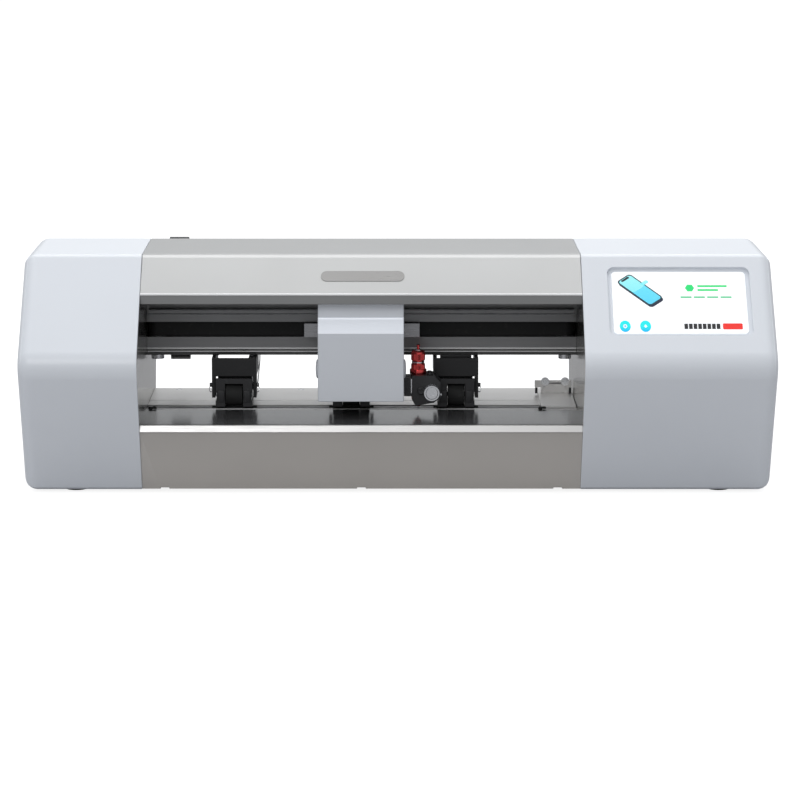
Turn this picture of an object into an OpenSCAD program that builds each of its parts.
// Desktop film and vinyl cutter. Millimetres; X to the right, Y away from the user, Z up.
// The origin is on the standing surface, under the middle of the body.

/* [Body] */
// Width over both end covers
body_w = 520; // [510:1:540]
// Depth from the front nose to the rear nose
body_d = 190; // [190:1:200]
// Height of the flat top above the standing surface
body_h = 164; // [164:1:168]
// Thickness of the moulded end covers
cover_wall = 2.5; // [2:0.1:2.5]
// Radius of the outer edges of the end covers
cover_edge_r = 9; // [4:1:12]
// How far the rubber feet stand below the covers
foot_h = 2; // [2:0.5:2]

/* [Throat] */
// X of the left side frame's inner face
throat_left = -178; // [-180:0.5:-178]
// X of the right side frame's inner face
throat_right = 127.6; // [127.6:0.2:129]
// Height of the bed's top surface
bed_top = 50.8; // [50.6:0.1:51]
// Thickness of the two platen halves
platen_t = 4.6; // [4:0.1:5]
// Thickness of the side frame plates
frame_t = 3; // [2.5:0.5:4]

/* [Feed] */
// Radius of the grit roller
roller_r = 6; // [5.8:0.1:6.1]
// How far the roller stands above the bed
roller_rise = 0.5; // [0.3:0.1:0.6]
// Radius of each pinch wheel
wheel_r = 8.25; // [8:0.05:8.4]
// Width of each pinch wheel
wheel_w = 11.7; // [10:0.1:12]
// Gap for the film between the roller and the wheels
film_gap = 0.3; // [0.2:0.05:0.4]

/* [Display] */
// Width of the visible screen
screen_w = 92.5; // [86:0.5:96]
// Height of the visible screen, along the sloping face
screen_h = 51.6; // [48:0.1:54]
// Width of the sunk margin round the screen
screen_margin = 3; // [2:0.5:4]

/* [Tool] */
// X of the tool's axis
tool_x = 14.6; // [14.4:0.1:14.8]
// Radius of the blade holder's barrel
holder_r = 4.75; // [4.5:0.05:4.8]
// Height of the blade's point above the bed when it is up
tip_lift = 2.8; // [2.6:0.1:3]

/* [Hidden] */
$fn = 48;

// Colours
cover_white = [0.90, 0.92, 0.95];
warm_grey = [0.55, 0.53, 0.51];
silver = [0.78, 0.78, 0.80];
dark_grey = [0.22, 0.22, 0.24];
black = [0.06, 0.06, 0.07];
steel = [0.62, 0.63, 0.65];
red = [0.66, 0.13, 0.13];

// Clearances
touch_gap = 0.2;
run_gap = 0.05;
press_gap = 0.02;

// Side view of the body: discs [y, z, radius] whose hull is the hexagonal outline
front = -body_d / 2;
rear = body_d / 2;
nose = [front + 18, 92.25, 18];
top_front = [front + 63.5, body_h - 6, 6];
low_front = [front + 38.6, foot_h + 4, 4];
top_rear = [rear - 42, body_h - 6, 6];
nose_rear = [rear - 18, 92.25, 18];
low_rear = [rear - 26.6, foot_h + 4, 4];

// Normal, in degrees, of the line that touches discs a and b on the side given by sign
function tangent_normal(a, b, sign) = atan2(b[1] - a[1], b[0] - a[0])
    + sign * acos((a[2] - b[2]) / norm([b[0] - a[0], b[1] - a[1]]));

face_normal = tangent_normal(nose, top_front, 1);
face_tilt = face_normal - 90;
face_start = [nose[0] + nose[2] * cos(face_normal), nose[1] + nose[2] * sin(face_normal)];
under_normal = tangent_normal(nose, low_front, -1);
under_start = [nose[0] + nose[2] * cos(under_normal), nose[1] + nose[2] * sin(under_normal)];

// How far a corner moves in for each millimetre that both faces beside it move in
function corner_pull(n1, n2) = -[cos(n1) + cos(n2), sin(n1) + sin(n2)] / (1 + cos(n1 - n2));

outline = [
    [nose, corner_pull(under_normal, face_normal)],
    [top_front, corner_pull(face_normal, 90)],
    [top_rear, corner_pull(90, 180 - face_normal)],
    [nose_rear, corner_pull(180 - face_normal, 180 - under_normal)],
    [low_rear, corner_pull(180 - under_normal, -90)],
    [low_front, corner_pull(-90, under_normal)]
];

// Y on the upper front face, or on the lower one, at height z and a given depth inside
function face_y(z, inset) = face_start[0] - (z - face_start[1]) * tan(face_normal)
    - inset / cos(face_normal);
function under_y(z, inset) = under_start[0] - (z - under_start[1]) * tan(under_normal)
    - inset / cos(under_normal);

mid_x = (throat_left + throat_right) / 2;

// Base
base_z = 4.6;
base_t = 2;
base_top = base_z + base_t;
sheet_t = 1.5;
panel_bottom = foot_h + 0.5;
platen_z = bed_top - platen_t;

// Bed
trim_front = front + 17.5;
trim_rear = front + 22.5;
trim_slope = 2;
platen_front = front + 23.2;
mat_rear = front + 80;
slot_front = front + 85;
slot_rear = front + 98;
bed_rear = front + 166;
mat_t = 0.8;

// Beam and carriage guide
beam_front = front + 98;
beam_back = front + 131;
beam_z = 86.4;
beam_top = 123.8;
slot_z = [100, 110.6];
beam_wall = 2;
beam_hollow_z = [94, 115];
rail_z = 116.3;
rail_w = 9;
rail_t = 6.5;
belt_z = [100.3, 110.3];
belt_t = 1.2;
pulley_r = 5;
pulley_y = beam_front + 8.5;
pulley_x = [throat_left + 7, throat_right - 7.7];
motor_side = 28;
motor_len = 32;

// Roller, pinch units and lift shaft
roller_y = front + 91.5;
roller_z = bed_top + roller_rise - roller_r;
wheel_z = bed_top + roller_rise + film_gap + wheel_r;
unit_x = [-115.8, -32.6, 41.8];
unit_w = 31.7;
pivot_y = front + 125;
pivot_z = 75;
pin_r = 2;
axle_r = 1.5;
axle_half = 12.9;
shaft_y = front + 157;
shaft_z = 82;
shaft_r = 4;
cam_r = 5.5;
cam_throw = 4.7;
cam_gap_z = shaft_z - cam_r - 0.4;
cam_x = [7.2, 12.8];
lever_x = [-164.8, -150.8];
lever_top = body_h;

// Feed drive
feed_belt_x = 134;
feed_belt_w = 8;
feed_pulley_r = 14;
feed_motor_r = 6;
feed_motor_y = roller_y + 42;
feed_motor_z = 49;
feed_motor_x = 148;

// Head and tool
head_x = [-55.4, 4.4];
head_front = front + 40;
head_z = 63.6;
tool_y = front + 70;
plate_y = [-11, -8];
rod_x = [-42, -9];
rod_y = -25;
rod_r = 2.5;
knob_x = 24;
knob_z = 67.6;
knob_screw_r = 1.5;
small_screw_x = 16.5;
small_head_r = 1.9;

// Rear connectors
rear_panel_y = [69, 71];
switch_x = 32.5;
switch_z = 24;
switch_half = [9.5, 6.5];
inlet_x = 102;
inlet_z = 20;
inlet_r = 5;
usb_x = 78;
usb_half = 4.6;
usb_z = [13.6, 16.9];
board_z = [12, 13.6];

// ---- Helpers ----

// Extrudes a Y-Z outline along X from x0 to x1
module along_x(x0, x1) {
    translate([x0, 0, 0]) rotate([90, 0, 90]) linear_extrude(x1 - x0) children();
}

// Extrudes an X-Z outline along Y from y0 to y1
module along_y(y0, y1) {
    translate([0, y1, 0]) rotate([90, 0, 0]) linear_extrude(y1 - y0) children();
}

// Box between two corners
module block(low, high) {
    translate(low) cube(high - low);
}

// Cylinders along X, Y and Z between two coordinates
module rod_x_axis(x0, x1, y, z, r) {
    translate([x0, y, z]) rotate([0, 90, 0]) cylinder(h = x1 - x0, r = r);
}
module rod_y_axis(x, y0, y1, z, r) {
    translate([x, y1, z]) rotate([90, 0, 0]) cylinder(h = y1 - y0, r = r);
}
module rod_z_axis(x, y, z0, z1, r) {
    translate([x, y, z0]) cylinder(h = z1 - z0, r = r);
}

// Places children on the upper front face: X along, Y up the slope, Z outwards
module on_face(x, along) {
    translate([x, face_start[0], face_start[1]]) rotate([face_tilt, 0, 0])
        translate([0, along, 0]) children();
}

// Flat plate with rounded corners, centred, from height z0 to z1
module round_plate(w, h, r, z0, z1) {
    translate([0, 0, z0]) linear_extrude(z1 - z0)
        offset(r) square([w - 2 * r, h - 2 * r], center = true);
}

// Side view of the body, drawn a given depth inside it, with corners no sharper than least_r
module side_outline(inset = 0) {
    least_r = 1.5;
    hull() for (corner = outline) {
        disc = corner[0];
        shift = max(inset - disc[2] + least_r, 0);
        translate([disc[0], disc[1]] + shift * corner[1])
            circle(max(disc[2] - inset, least_r), $fn = 32);
    }
}

// ---- Casing ----

// End cover form from X = 0 to its length, rounded at the outer end
module cover_form(length, inset, start) {
    edge = max(cover_edge_r - inset, 1);
    slice = 0.3;
    straight = length - inset - edge;
    hull() {
        along_x(start, straight) side_outline(inset);
        for (a = [18:18:90])
            along_x(straight + edge * sin(a) - slice, straight + edge * sin(a))
                side_outline(inset + edge * (1 - cos(a)));
    }
}

module end_cover(length) {
    difference() {
        cover_form(length, 0, 0);
        cover_form(length, cover_wall, -1);
    }
}

screen_x = throat_right + 66.8;
screen_along = 42.2;

module left_end_cover() {
    color(cover_white) translate([throat_left, 0, 0]) mirror([1, 0, 0])
        end_cover(body_w / 2 + throat_left);
}

module right_end_cover() {
    color(cover_white) difference() {
        translate([throat_right, 0, 0]) end_cover(body_w / 2 - throat_right);
        on_face(screen_x, screen_along)
            round_plate(screen_w + 2 * screen_margin, screen_h + 2 * screen_margin, 5, -6, 6);
    }
}

top_skin = body_h - 0.2;
top_lip_z = body_h - 24.5;
top_back_y = front + 152.5;

// Folded sheet: flat top, sloping front with a proud lip and a short skirt, and a rear wall
module top_cover() {
    lip_y = face_y(top_lip_z, 0) - 0.6;
    bend_y = face_y(top_skin, 1);
    skirt_h = 7.3;
    wall_low = body_h - 42;
    wall_high = body_h - 14;
    color(silver) along_x(throat_left, throat_right) polygon([
        [top_back_y, wall_low], [top_back_y, wall_high], [top_rear[0] + 1, top_skin],
        [bend_y + 4, top_skin], [bend_y + 1.2, top_skin - 0.5], [bend_y - 1.4, top_skin - 2],
        [lip_y, top_lip_z], [lip_y + 0.4, top_lip_z - 1.6], [lip_y + 0.4, top_lip_z - skirt_h],
        [lip_y + 0.4 + sheet_t, top_lip_z - skirt_h], [lip_y + 0.4 + sheet_t, top_lip_z - 1.2],
        [bend_y + 0.6, top_skin - 2.2], [bend_y + 4, top_skin - sheet_t],
        [top_rear[0] + 0.4, top_skin - sheet_t], [top_back_y - sheet_t, wall_high - 0.6],
        [top_back_y - sheet_t, wall_low]
    ]);
}

// Folded sheet under the bed, with three small notches in its lower edge
module front_panel() {
    notch_w = 6;
    notch_gap = 137;
    notch_top = panel_bottom + 1.2;
    flange_y = front + 57;
    color(warm_grey) difference() {
        along_x(throat_left, throat_right) polygon([
            [under_y(platen_z, 1), platen_z], [under_y(panel_bottom, 1), panel_bottom],
            [flange_y, panel_bottom], [flange_y, panel_bottom + sheet_t],
            [under_y(panel_bottom + sheet_t, 1 + sheet_t), panel_bottom + sheet_t],
            [under_y(platen_z, 1 + sheet_t), platen_z]
        ]);
        for (step = [-notch_gap, 0, notch_gap])
            block([mid_x + step - notch_w / 2, front, 0],
                  [mid_x + step + notch_w / 2, flange_y - 16, notch_top]);
    }
}

module rear_panel() {
    cut_y = [rear_panel_y[0] - 1, rear_panel_y[1] + 1];
    gap = 0.1;
    color(warm_grey) difference() {
        block([throat_left, rear_panel_y[0], base_top], [throat_right, rear_panel_y[1], platen_z]);
        block([switch_x - switch_half[0] - gap, cut_y[0], switch_z - switch_half[1] - gap],
              [switch_x + switch_half[0] + gap, cut_y[1], switch_z + switch_half[1] + gap]);
        rod_y_axis(inlet_x, cut_y[0], cut_y[1], inlet_z, inlet_r + press_gap);
        block([usb_x - usb_half - gap, cut_y[0], usb_z[0] - gap],
              [usb_x + usb_half + gap, cut_y[1], usb_z[1] + gap]);
    }
}

module base_plate() {
    half = body_w / 2 - 15;
    color(steel) block([-half, front + 41, base_z], [half, rear - 29, base_top]);
}

module rubber_feet() {
    foot_x = body_w / 2 - 35;
    foot_r = 9;
    color(black) for (x = [-foot_x, foot_x], y = [front + 52, rear - 40])
        rod_z_axis(x, y, 0, foot_h, foot_r);
}

// ---- Frame and bed ----

module frame_plate(x0) {
    difference() {
        along_x(x0, x0 + frame_t) intersection() {
            side_outline(cover_wall + touch_gap);
            translate([front, base_top]) square([body_d, body_h]);
        }
        rod_x_axis(x0 - 1, x0 + frame_t + 1, roller_y, roller_z, bearing_r + press_gap);
        rod_x_axis(x0 - 1, x0 + frame_t + 1, shaft_y, shaft_z, shaft_r + run_gap);
    }
}

// The left plate is cut out round the carriage motor
module left_side_frame() {
    half = motor_side / 2 + 1;
    color(steel) difference() {
        frame_plate(throat_left - frame_t);
        block([throat_left - frame_t - 1, pulley_y - half, beam_top],
              [throat_left + 1, pulley_y + half, beam_top + motor_len + 2]);
    }
}

module right_side_frame() {
    color(steel) frame_plate(throat_right);
}

module edge_trim() {
    color(silver) along_x(throat_left, throat_right) polygon([
        [trim_front, platen_z], [trim_front + trim_slope, bed_top],
        [trim_rear, bed_top], [trim_rear, platen_z]
    ]);
}

module front_platen() {
    color(dark_grey) difference() {
        block([throat_left, platen_front, platen_z], [throat_right, slot_front, bed_top]);
        block([throat_left - 1, platen_front - 1, bed_top - mat_t],
              [throat_right + 1, mat_rear, bed_top + 1]);
    }
}

module cutting_mat() {
    color(black) block([throat_left, platen_front, bed_top - mat_t], [throat_right, mat_rear, bed_top]);
}

module rear_platen() {
    groove_y = front + 115;
    groove_w = 0.9;
    groove_deep = 0.5;
    color(silver) difference() {
        block([throat_left, slot_rear, platen_z], [throat_right, bed_rear, bed_top]);
        block([throat_left - 1, groove_y, bed_top - groove_deep],
              [throat_right + 1, groove_y + groove_w, bed_top + 1]);
    }
}

cover_plate_x = [102.4, 127.3];
cover_plate_y = [front + 84, front + 139];
cover_tab_x = [100.2, 126.9];
cover_tab_z = [56.2, 61.5];
tab_screws = [107.7, 122.1];
tab_screw_z = 60.9;
tab_screw_r = 1.5;
tab_head_r = 2.95;

// Bent sheet over the roller's end, with an upright tab behind that has an ear round each screw
module bed_cover_plate() {
    neck = 2.3;
    ear_r = 2.5;
    tab_y = [cover_plate_y[1] - sheet_t, cover_plate_y[1]];
    color(silver) difference() {
        union() {
            block([cover_plate_x[0], cover_plate_y[0], bed_top],
                  [cover_plate_x[1], cover_plate_y[1], bed_top + sheet_t]);
            block([cover_plate_x[0] + neck, tab_y[0], bed_top],
                  [cover_plate_x[1] - neck, tab_y[1], cover_tab_z[1]]);
            block([cover_tab_x[0], tab_y[0], cover_tab_z[0]], [cover_tab_x[1], tab_y[1], cover_tab_z[1]]);
            for (x = tab_screws)
                rod_y_axis(x, tab_y[0], tab_y[1], tab_screw_z, ear_r);
        }
        for (x = tab_screws)
            rod_y_axis(x, tab_y[0] - 1, tab_y[1] + 1, tab_screw_z, tab_screw_r);
    }
}

module bed_cover_screws() {
    head_y = cover_plate_y[1] - sheet_t;
    head_h = 1.9;
    slot_half = [0.3, 1.5];
    slot_y = [head_y - head_h - 1, head_y - head_h + 0.9];
    color(steel) for (x = tab_screws) difference() {
        union() {
            rod_y_axis(x, head_y - head_h, head_y, tab_screw_z, tab_head_r);
            rod_y_axis(x, head_y, head_y + 5, tab_screw_z, tab_screw_r);
        }
        block([x - slot_half[1], slot_y[0], tab_screw_z - slot_half[0]],
              [x + slot_half[1], slot_y[1], tab_screw_z + slot_half[0]]);
        block([x - slot_half[0], slot_y[0], tab_screw_z - slot_half[1]],
              [x + slot_half[0], slot_y[1], tab_screw_z + slot_half[1]]);
    }
}

// ---- Beam, rail and belt ----

// Hollow extrusion, slotted along the front for the belt clamp
module beam() {
    chamfer = [3, 5.2];
    color(dark_grey) difference() {
        along_x(throat_left, throat_right) difference() {
            polygon([
                [beam_front, beam_z + chamfer[1]], [beam_front + chamfer[0], beam_z],
                [beam_back, beam_z], [beam_back, beam_top], [beam_front, beam_top]
            ]);
            translate([beam_front + beam_wall, beam_hollow_z[0]])
                square([beam_back - beam_front - 2 * beam_wall, beam_hollow_z[1] - beam_hollow_z[0]]);
            translate([beam_front - 1, slot_z[0]])
                square([beam_wall + 2, slot_z[1] - slot_z[0]]);
        }
        for (x = pulley_x) rod_z_axis(x, pulley_y, beam_z - 1, beam_top + 1, 2.6);
    }
}

module linear_rail() {
    color(steel) difference() {
        block([throat_left + 2, beam_front - rail_t, rail_z - rail_w / 2],
              [throat_right - 2, beam_front, rail_z + rail_w / 2]);
        for (side = [-1, 1])
            rod_x_axis(throat_left, throat_right, beam_front - 4,
                       rail_z + side * (rail_w / 2 + 0.3), 0.8);
    }
}

// Loop round two pulleys of radius r at points a and b, with a given belt thickness
module belt_loop(a, b, ra, rb, thick) {
    slack = 0.15;
    difference() {
        hull() {
            translate(a) circle(ra + slack + thick, $fn = 96);
            translate(b) circle(rb + slack + thick, $fn = 96);
        }
        hull() {
            translate(a) circle(ra + slack, $fn = 96);
            translate(b) circle(rb + slack, $fn = 96);
        }
    }
}

module carriage_belt() {
    color(black) translate([0, 0, belt_z[0]]) linear_extrude(belt_z[1] - belt_z[0])
        belt_loop([pulley_x[0], pulley_y], [pulley_x[1], pulley_y], pulley_r, pulley_r, belt_t);
}

// Square motor with cut corners, a pilot ring and a bore for its shaft, facing +Z at z = 0
module motor(side, length, pilot_r, bore_r) {
    cut = side * 0.1;
    difference() {
        union() {
            translate([0, 0, -length]) linear_extrude(length)
                offset(delta = cut, chamfer = true) square(side - 2 * cut, center = true);
            translate([0, 0, -length - 2]) cylinder(h = 2, r = side * 0.22);
        }
        translate([0, 0, -12]) cylinder(h = 14, r = bore_r);
        translate([0, 0, -0.8]) cylinder(h = 2, r = pilot_r);
    }
}

module carriage_motor() {
    color(black) translate([pulley_x[0], pulley_y, beam_top]) mirror([0, 0, 1])
        motor(motor_side, motor_len, 4, 2.5 + run_gap);
}

// Toothed pulley from z0 to z1 with two flanges
module toothed_pulley(r, flange, z0, z1) {
    rim = 0.8;
    teeth = 16;
    difference() {
        translate([0, 0, z0]) cylinder(h = z1 - z0, r = r);
        for (i = [0:teeth - 1])
            rotate([0, 0, i * 360 / teeth]) translate([r + 0.1, 0, z0 - 1])
                cylinder(h = z1 - z0 + 2, r = r * 0.09);
    }
    for (z = [z0, z1 - rim])
        translate([0, 0, z]) cylinder(h = rim, r = flange);
}

// Belt pulley on a vertical shaft, with a small toothed hub under the beam
module beam_pulley(top) {
    toothed_pulley(pulley_r, pulley_r + 1.3, belt_z[0] - 1, belt_z[1] + 1);
    rod_z_axis(0, 0, beam_z - 0.5, top, 2.5);
    toothed_pulley(pulley_r - 0.4, pulley_r - 0.5, beam_z - 3.2, beam_z - touch_gap);
}

module carriage_pulley() {
    color(silver) translate([pulley_x[0], pulley_y, 0]) beam_pulley(beam_top + 10);
}

module idler_pulley() {
    color(silver) translate([pulley_x[1], pulley_y, 0]) beam_pulley(beam_top + 1.5);
}

// ---- Feed drive ----

roller_ends = [throat_left + 1.5, throat_right - 1.5];

journal_r = 4;
bearing_r = 8;
sleeve_t = 0.6;

module feed_roller() {
    color(steel) {
        rod_x_axis(roller_ends[0], roller_ends[1], roller_y, roller_z, roller_r - sleeve_t);
        rod_x_axis(throat_left - 7, roller_ends[0], roller_y, roller_z, journal_r);
        rod_x_axis(roller_ends[1], feed_belt_x + feed_belt_w + 4, roller_y, roller_z, journal_r);
    }
}

// Rough sleeves on the roller, one under each pinch unit
module grit_sleeves() {
    color(black) for (x = unit_x) difference() {
        rod_x_axis(x - unit_w / 2, x + unit_w / 2, roller_y, roller_z, roller_r);
        rod_x_axis(x - unit_w, x + unit_w, roller_y, roller_z, roller_r - sleeve_t + press_gap);
    }
}

// One ring in each side frame, 1.5 mm wider than the plate
module roller_bearings() {
    bearing_w = frame_t + 1.5;
    color(steel) for (x = [throat_left - bearing_w, throat_right]) difference() {
        rod_x_axis(x, x + bearing_w, roller_y, roller_z, bearing_r);
        rod_x_axis(x - 1, x + bearing_w + 1, roller_y, roller_z, journal_r + run_gap);
    }
}

module roller_pulley() {
    color(silver) translate([feed_belt_x, roller_y, roller_z]) rotate([0, 90, 0]) difference() {
        toothed_pulley(feed_pulley_r, feed_pulley_r + 1.5, 0, feed_belt_w);
        translate([0, 0, -1]) cylinder(h = feed_belt_w + 2, r = journal_r + press_gap);
    }
}

module feed_motor_pulley() {
    color(silver) translate([feed_belt_x, feed_motor_y, feed_motor_z]) rotate([0, 90, 0]) {
        toothed_pulley(feed_motor_r, feed_motor_r + 1.5, 0, feed_belt_w);
        cylinder(h = feed_motor_x + 10 - feed_belt_x, r = 2.5);
    }
}

module feed_belt() {
    color(black) along_x(feed_belt_x + 1.2, feed_belt_x + feed_belt_w - 1.2)
        belt_loop([roller_y, roller_z], [feed_motor_y, feed_motor_z],
                  feed_pulley_r, feed_motor_r, belt_t);
}

// Motor on four posts that stand on the right side frame
module feed_motor() {
    side = 42;
    post = 15.5;
    color(black) {
        translate([feed_motor_x, feed_motor_y, feed_motor_z]) rotate([0, -90, 0])
            motor(side, 38, 8, 2.5 + run_gap);
        for (y = [-post, post], z = [-post, post])
            rod_x_axis(throat_right + frame_t, feed_motor_x, feed_motor_y + y, feed_motor_z + z, 2.2);
    }
}

// ---- Pinch units ----

bracket_cheek = 2.4;
bracket_top = beam_z - 0.5;
spring_seat = 79.9;
spring_y = front + 102;
spring_r = 4;
arm_top = 73;

// One bracket, open above, below and behind, with two posts up to the beam and a spring seat
module pinch_bracket(x) {
    cheek = bracket_cheek;
    post = 4.8;
    plate_t = 2.2;
    cheek_low = 71.7;
    guard_low = 57.5;
    plate_low = 72.8;
    rear_y = pivot_y + 8;
    front_y = front + 89;
    half = unit_w / 2;
    difference() {
        union() {
            for (side = [-1, 1]) {
                block([x + side * (half - cheek / 2) - cheek / 2, front_y, cheek_low],
                      [x + side * (half - cheek / 2) + cheek / 2, rear_y, bracket_top]);
                block([x + side * (half - cheek / 2) - cheek / 2, front_y, guard_low],
                      [x + side * (half - cheek / 2) + cheek / 2, spring_y, cheek_low]);
                block([x + side * (half - post / 2) - post / 2, beam_front + 4, bracket_top],
                      [x + side * (half - post / 2) + post / 2, rear_y - 4, beam_z]);
            }
            block([x - half, front_y, spring_seat], [x + half, spring_y + spring_r + 1, spring_seat + 2]);
            block([x - half, front_y, plate_low], [x + half, front_y + plate_t, bracket_top]);
        }
        rod_x_axis(x - half - 1, x + half + 1, pivot_y, pivot_z, pin_r + press_gap);
    }
}

module pinch_brackets() {
    color(black) for (x = unit_x) pinch_bracket(x);
}

module pivot_pins() {
    color(steel) for (x = unit_x)
        rod_x_axis(x - unit_w / 2, x + unit_w / 2, pivot_y, pivot_z, pin_r);
}

module pinch_springs() {
    wire_t = 0.8;
    color(silver) for (x = unit_x) difference() {
        rod_z_axis(x, spring_y, arm_top + 0.1, spring_seat, spring_r);
        rod_z_axis(x, spring_y, arm_top - 1, spring_seat + 1, spring_r - wire_t);
    }
}

// Rocking arm: cheeks that carry the wheel's axle, stepped in beside its ends, a front lip, a
// bridge over the pivot and a heavy tail that balances the wheel, with a riser that the cam presses
module pinch_arm(x) {
    well = wheel_w / 2 + 0.45;
    inner_half = axle_half - 0.7;
    outer_half = unit_w / 2 - bracket_cheek - 0.35;
    cheek_y = [front + 84.5, front + 104];
    steps = [
        [bed_top + 0.8, bed_top + 5, outer_half],
        [bed_top + 0.8, 66.8, inner_half],
        [62.4, 66.8, outer_half]
    ];
    lip_z = [68.2, 71.9];
    lip_t = 3;
    bridge_z = 64;
    tail_half = 10.8;
    tail_z = [62, 71];
    tail_end = shaft_y + 11;
    color(dark_grey) difference() {
        union() {
            for (side = [-1, 1], step = steps) {
                inner = x + side * well;
                outer = x + side * step[2];
                block([min(inner, outer), cheek_y[0], step[0]],
                      [max(inner, outer), cheek_y[1], step[1]]);
            }
            for (side = [-1, 1]) {
                inner = x + side * well;
                outer = x + side * outer_half;
                block([min(inner, outer), cheek_y[0], bridge_z],
                      [max(inner, outer), cheek_y[0] + lip_t, lip_z[1]]);
            }
            block([x - outer_half, cheek_y[0], lip_z[0]],
                  [x + outer_half, cheek_y[0] + lip_t, lip_z[1]]);
            block([x - inner_half, cheek_y[1] - 2.5, bridge_z],
                  [x + inner_half, pivot_y + 5.5, arm_top]);
            block([x - inner_half, pivot_y - 5, bridge_z],
                  [x + inner_half, pivot_y + 5.5, pivot_z + 3.4]);
            block([x - tail_half, pivot_y + 5, tail_z[0]], [x + tail_half, tail_end, tail_z[1]]);
            block([x + cam_x[0] + 0.5, shaft_y - 10, tail_z[0]],
                  [x + cam_x[1] - 0.5, tail_end, cam_gap_z]);
        }
        rod_x_axis(x - unit_w / 2, x + unit_w / 2, pivot_y, pivot_z, pin_r + run_gap);
        rod_x_axis(x - unit_w / 2, x + unit_w / 2, roller_y, wheel_z, axle_r + run_gap);
        rod_x_axis(x - well, x + well, roller_y, wheel_z, wheel_r + 0.9);
    }
}

module pinch_arm_left() { pinch_arm(unit_x[0]); }
module pinch_arm_middle() { pinch_arm(unit_x[1]); }
module pinch_arm_right() { pinch_arm(unit_x[2]); }

// Rubber wheel with its steel axle
module pinch_wheel(x) {
    color(black) {
        rod_x_axis(x - wheel_w / 2, x + wheel_w / 2, roller_y, wheel_z, wheel_r);
        rod_x_axis(x - axle_half, x + axle_half, roller_y, wheel_z, axle_r);
    }
}

module pinch_wheel_left() { pinch_wheel(unit_x[0]); }
module pinch_wheel_middle() { pinch_wheel(unit_x[1]); }
module pinch_wheel_right() { pinch_wheel(unit_x[2]); }

// Shaft through both side frames, with one eccentric disc over each arm's tail
module lift_shaft() {
    color(steel) {
        rod_x_axis(throat_left - frame_t - 2, throat_right + frame_t + 2, shaft_y, shaft_z, shaft_r);
        for (x = unit_x)
            rod_x_axis(x + cam_x[0], x + cam_x[1], shaft_y + cam_throw, shaft_z, cam_r);
    }
}

module lift_lever() {
    hub_r = 8;
    half = 3;
    color(black) difference() {
        union() {
            rod_x_axis(lever_x[0], lever_x[1], shaft_y, shaft_z, hub_r);
            block([lever_x[0], shaft_y - half, shaft_z], [lever_x[1], shaft_y + half, lever_top - half]);
            rod_x_axis(lever_x[0], lever_x[1], shaft_y, lever_top - half, half);
        }
        rod_x_axis(lever_x[0] - 1, lever_x[1] + 1, shaft_y, shaft_z, shaft_r + press_gap);
    }
}

// ---- Carriage and head ----

block_x = [-45, -6];

module rail_block() {
    gap = 0.15;
    color(steel) difference() {
        block([block_x[0], plate_y[1], rail_z - 10], [block_x[1], beam_front - 2, rail_z + 10]);
        block([block_x[0] - 1, beam_front - rail_t - gap, rail_z - rail_w / 2 - gap],
              [block_x[1] + 1, beam_front, rail_z + rail_w / 2 + gap]);
    }
}

module carriage_plate() {
    color(dark_grey) block([-52, plate_y[0], 87], [1, plate_y[1], 127]);
}

// Two silver blocks joined by a bar that lies against the belt in the beam's slot
module belt_clamp() {
    bar_x = [-66, 16];
    bar_y = [beam_front - 1.8, beam_front + 1.6];
    z = [slot_z[0] + 0.3, slot_z[1] - 0.3];
    rise = 1;
    color(silver) {
        block([bar_x[0], bar_y[0], z[0]], [bar_x[1], bar_y[1], z[1]]);
        for (x = [[bar_x[0], block_x[0] - 1], [block_x[1] + 1.5, bar_x[1]]])
            block([x[0], plate_y[1], z[0] + rise], [x[1], bar_y[0], z[1] + rise]);
    }
}

// Thin cover, open behind and below, with a step for the tool arm in its right wall
module head_cover() {
    wall = 2;
    back = front + 81;
    upper_back = front + 82;
    top = 136;
    shoulder_z = 111.8;
    shoulder = [front + 46, 121.3];
    color(silver) difference() {
        along_x(head_x[0], head_x[1]) polygon([
            [head_front, head_z], [head_front, shoulder_z], shoulder, [shoulder[0], top],
            [upper_back, top], [upper_back, 87], [back, 85], [back, head_z]
        ]);
        along_x(head_x[0] + wall, head_x[1] - wall) polygon([
            [head_front + wall, head_z - 1], [head_front + wall, shoulder_z - 0.8],
            [shoulder[0] + wall, shoulder[1] - 0.6], [shoulder[0] + wall, top - wall],
            [upper_back + 1, top - wall], [upper_back + 1, head_z - 1]
        ]);
        block([head_x[1] - wall - 1, front + 57.5, head_z - 1], [head_x[1] + 1, upper_back + 1, 79]);
    }
}

// Bracket on the carriage plate that holds the two guide rods
module slide_frame() {
    color(dark_grey) difference() {
        union() {
            block([-51, front + 62, 87], [0, plate_y[0], 90]);
            block([-51, front + 62, 122], [0, plate_y[0], 125]);
        }
        for (x = rod_x) rod_z_axis(x, rod_y, 80, 130, rod_r + press_gap);
    }
}

module guide_rods() {
    color(steel) for (x = rod_x) rod_z_axis(x, rod_y, 87, 125, rod_r);
}

module lift_solenoid() {
    color(black) {
        rod_z_axis(-25.5, rod_y, 112.5, 122, 7.5);
        rod_z_axis(-25.5, rod_y, 125, 133, 5);
    }
}

module slide_block() {
    color(silver) difference() {
        block([-48, front + 62, 94], [-3, front + 79, 108]);
        for (x = rod_x) rod_z_axis(x, rod_y, 90, 112, rod_r + run_gap);
    }
}

arm_x = 4.7;
clamp_x = [10.4, 30.2];
clamp_y = [front + 60, front + 79];

// Plate down from the slide block, then a bar out to the clamp
module tool_arm() {
    color(dark_grey) difference() {
        union() {
            block([-44, front + 58.8, 66], [-3, front + 62, 108]);
            block([-3, front + 58.8, 66], [arm_x, front + 62, 76.7]);
            block([arm_x, clamp_y[0], 63.8], [clamp_x[0], clamp_y[1] - 1, 76.7]);
        }
        rod_z_axis(tool_x, tool_y, 60, 80, holder_r);
    }
}

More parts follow.
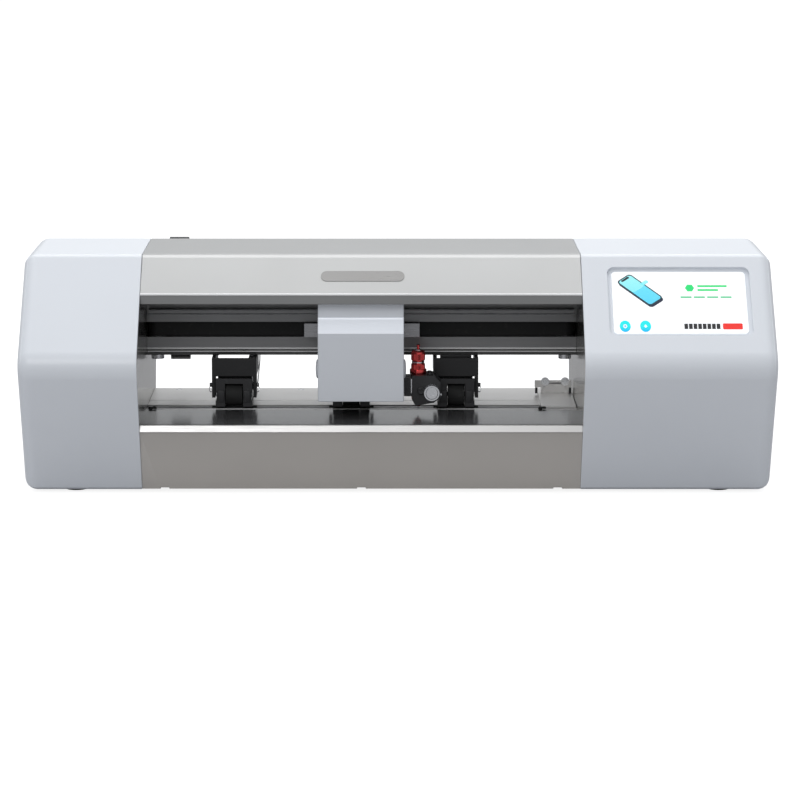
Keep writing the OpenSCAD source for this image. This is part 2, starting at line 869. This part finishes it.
flange_z = [78.5, 81.5];

// Black jaw with cut corners, bored for the holder and tapped for two screws
module tool_clamp() {
    low = 57;
    color(black) difference() {
        along_y(clamp_y[0], clamp_y[1]) polygon([
            [clamp_x[0], flange_z[0]], [clamp_x[1] - 4.2, flange_z[0]],
            [clamp_x[1], flange_z[0] - 5], [clamp_x[1], low + 5.8],
            [clamp_x[1] - 4.6, low + 2.2], [clamp_x[0] + 2.4, low], [clamp_x[0], low + 4]
        ]);
        rod_z_axis(tool_x, tool_y, low - 1, flange_z[0] + 1, holder_r);
        rod_y_axis(knob_x, clamp_y[0] - 1, clamp_y[0] + 14, knob_z, knob_screw_r + run_gap);
        rod_y_axis(small_screw_x, clamp_y[0] - 1, clamp_y[0] + 4, knob_z, 1 + press_gap);
    }
}

module clamp_screw() {
    color(steel) {
        rod_y_axis(small_screw_x, clamp_y[0] - 1.6, clamp_y[0], knob_z, small_head_r);
        rod_y_axis(small_screw_x, clamp_y[0], clamp_y[0] + 4, knob_z, 1);
    }
}

// Knurled thumb nut with its screw
module clamp_knob() {
    r = 5.35;
    ribs = 30;
    color(silver) {
        difference() {
            rod_y_axis(knob_x, clamp_y[0] - 9.8, clamp_y[0] - touch_gap, knob_z, r);
            for (i = [0:ribs - 1])
                rod_y_axis(knob_x + r * cos(i * 360 / ribs), clamp_y[0] - 9, clamp_y[0] - 4,
                           knob_z + r * sin(i * 360 / ribs), 0.28);
        }
        rod_y_axis(knob_x, clamp_y[0] - 1, clamp_y[0] + 12, knob_z, knob_screw_r);
    }
}

tip_z = bed_top + tip_lift;

// Barrel with a flange, a turned waist and a cone, bored for the blade and the eject pin
module blade_holder() {
    color(red) translate([tool_x, tool_y, 0]) difference() {
        rotate_extrude() polygon([
            [0, tip_z + 1.6], [1.6, tip_z + 1.6], [holder_r - run_gap, tip_z + 7],
            [holder_r - run_gap, flange_z[0]], [holder_r + 1.15, flange_z[0]],
            [holder_r + 1.15, flange_z[1]], [holder_r, flange_z[1]], [holder_r, 85.5],
            [holder_r - 0.8, 86], [holder_r - 0.8, 87.4], [holder_r, 88], [holder_r, 94],
            [holder_r - 1, 95], [0, 95]
        ]);
        translate([0, 0, tip_z]) cylinder(h = 30, r = 0.6 + run_gap);
        translate([0, 0, 86]) cylinder(h = 12, r = 1 + run_gap);
    }
}

// Round shank ground to a slanted point
module blade() {
    color(steel) translate([tool_x, tool_y, 0]) difference() {
        translate([0, 0, tip_z]) cylinder(h = 22, r = 0.6);
        translate([-0.1, -2, tip_z - 2.4]) rotate([0, 30, 0]) cube([4, 4, 3.5]);
    }
}

module eject_pin() {
    color(steel) rod_z_axis(tool_x, tool_y, 88, 99, 1);
}

// ---- Display and electronics ----

module display_frame() {
    sunk = cover_wall + 0.1;
    color(cover_white) on_face(screen_x, screen_along) difference() {
        round_plate(screen_w + 12, screen_h + 12, 6, -sunk - 2, -sunk);
        round_plate(screen_w + 0.2, screen_h + 0.2, 3, -sunk - 3, 1);
    }
}

module touch_screen() {
    color("white") on_face(screen_x, screen_along)
        round_plate(screen_w, screen_h, 2.9, -7, -1.7);
}

// Board on four pillars, with its larger parts
module main_board() {
    low = [20, front + 50];
    high = [124, front + 160];
    color("darkgreen") block([low[0], low[1], board_z[0]], [high[0], high[1], board_z[1]]);
    color(steel) for (x = [low[0] + 4, high[0] - 4], y = [low[1] + 4, high[1] - 4])
        rod_z_axis(x, y, base_top, board_z[0], 2.5);
    color(black) {
        block([50, front + 90, board_z[1]], [66, front + 106, board_z[1] + 2]);
        for (i = [0:2])
            block([84 + 13 * i, front + 70, board_z[1]], [94 + 13 * i, front + 86, board_z[1] + 8]);
        for (i = [0:2]) rod_z_axis(40 + 13 * i, front + 135, board_z[1], board_z[1] + 14, 5);
    }
}

module power_inlet() {
    half = 5.5;
    hole_r = 2.8;
    pin_r = 1.05;
    color(black) difference() {
        union() {
            block([inlet_x - half, rear_panel_y[0] - 12, board_z[1]],
                  [inlet_x + half, rear_panel_y[0], board_z[1] + 12]);
            rod_y_axis(inlet_x, rear_panel_y[0], rear_panel_y[1] + 0.8, inlet_z, inlet_r);
        }
        difference() {
            rod_y_axis(inlet_x, rear_panel_y[0] - 8, rear_panel_y[1] + 2, inlet_z, hole_r);
            rod_y_axis(inlet_x, rear_panel_y[0] - 9, rear_panel_y[1], inlet_z, pin_r);
        }
    }
}

module usb_port() {
    wall = 0.4;
    color(silver) difference() {
        block([usb_x - usb_half, rear_panel_y[0] - 7, usb_z[0]],
              [usb_x + usb_half, rear_panel_y[1] + 0.2, usb_z[1]]);
        block([usb_x - usb_half + wall, rear_panel_y[0] - 5, usb_z[0] + wall],
              [usb_x + usb_half - wall, rear_panel_y[1] + 1, usb_z[1] - wall]);
    }
}

rocker_half = [7, 4.7];
rocker_y = rear_panel_y[1] - 1.5;
rocker_pin_r = 1.2;
rocker_pin_half = 6;

// Housing of the rocker switch, hollow for the rocker and bored for its two pins
module switch_body() {
    flange = 1;
    deep = 16;
    panel_y = rear_panel_y[1];
    well = [rocker_half[0] + 0.8, rocker_half[1] + 0.3];
    color(black) difference() {
        union() {
            block([switch_x - switch_half[0] - flange, panel_y, switch_z - switch_half[1] - flange],
                  [switch_x + switch_half[0] + flange, panel_y + 1.5, switch_z + switch_half[1] + flange]);
            block([switch_x - switch_half[0], panel_y - deep, switch_z - switch_half[1]],
                  [switch_x + switch_half[0], panel_y, switch_z + switch_half[1]]);
        }
        block([switch_x - well[0], panel_y - deep / 2, switch_z - well[1]],
              [switch_x + well[0], panel_y + 3, switch_z + well[1]]);
        rod_z_axis(switch_x, rocker_y, switch_z - rocker_pin_half - touch_gap,
                   switch_z + rocker_pin_half + touch_gap, rocker_pin_r + run_gap);
    }
}

// Rocker with a shallow V face and a pin at its top and bottom
module power_rocker() {
    half = rocker_half[0];
    back = 2;
    color(black) {
        translate([switch_x, rocker_y, switch_z - rocker_half[1]]) linear_extrude(2 * rocker_half[1])
            polygon([
                [-half, 0], [-half, 4.1], [0, 2.7], [half, 4.1], [half, 0], [back, -2.5], [-back, -2.5]
            ]);
        rod_z_axis(switch_x, rocker_y, switch_z - rocker_pin_half, switch_z + rocker_pin_half,
                   rocker_pin_r);
    }
}

base_plate();
rubber_feet();
left_end_cover();
right_end_cover();
top_cover();
front_panel();
rear_panel();
left_side_frame();
right_side_frame();
edge_trim();
front_platen();
rear_platen();
cutting_mat();
bed_cover_plate();
bed_cover_screws();
beam();
linear_rail();
carriage_belt();
carriage_motor();
feed_motor();
feed_belt();
roller_bearings();
pinch_brackets();
pivot_pins();
pinch_springs();
display_frame();
touch_screen();
main_board();
power_inlet();
switch_body();
usb_port();
rail_block();
carriage_plate();
belt_clamp();
head_cover();
slide_frame();
guide_rods();
lift_solenoid();
slide_block();
tool_arm();
tool_clamp();
clamp_screw();
blade_holder();
clamp_knob();
blade();
eject_pin();
feed_roller();
grit_sleeves();
roller_pulley();
feed_motor_pulley();
carriage_pulley();
idler_pulley();
lift_shaft();
lift_lever();
pinch_arm_left();
pinch_arm_middle();
pinch_arm_right();
pinch_wheel_left();
pinch_wheel_middle();
pinch_wheel_right();
power_rocker();
